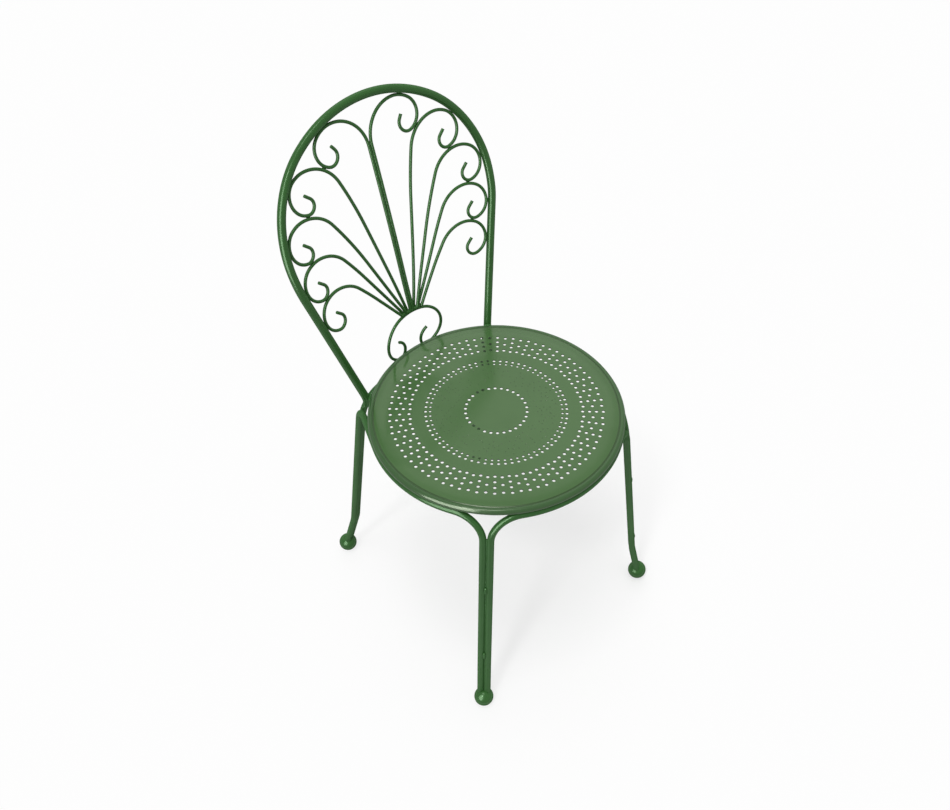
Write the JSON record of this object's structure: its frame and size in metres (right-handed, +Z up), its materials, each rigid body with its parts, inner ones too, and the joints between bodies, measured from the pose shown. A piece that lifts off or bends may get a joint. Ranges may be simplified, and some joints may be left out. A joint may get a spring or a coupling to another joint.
{
  "type": "garden chair",
  "caption": "Metal garden chair with a round perforated seat, looped bar legs on ball feet and a hooped back filled with a fan of scrolled rods.",
  "frame": {"origin": "on the floor, below the middle of the whole chair", "axes": "+Z up, +X towards the chair's side that is right in a front view, -Y the way the chair faces"},
  "size_m": [0.4108, 0.4988, 0.8571],
  "materials": {
    "paint": "satin green paint on steel, slightly uneven",
    "weld_paint": "satin green paint over rough weld beads"
  },
  "bodies": {
    "root": {"seat_pan": "paint", "leg_loop_front": "paint", "leg_loop_right": "paint", "leg_loop_rear": "paint", "leg_loop_left": "paint", "foot_ball_front_left": "paint", "foot_ball_front_right": "paint", "foot_ball_rear_left": "paint", "foot_ball_rear_right": "paint", "back_hoop": "paint", "base_scroll": "paint", "scroll_right_1": "paint", "scroll_right_2": "paint", "scroll_right_3": "paint", "scroll_right_4": "paint", "scroll_right_5": "paint", "scroll_left_1": "paint", "scroll_left_2": "paint", "scroll_left_3": "paint", "scroll_left_4": "paint", "scroll_left_5": "paint", "hoop_scroll_welds": "weld_paint", "scroll_curl_welds": "weld_paint", "leg_tack_welds": "weld_paint", "rail_rim_welds": "weld_paint", "stem_weld": "weld_paint", "base_scroll_welds": "weld_paint", "hoop_toe_welds": "weld_paint"}
  },
  "joints": []
}
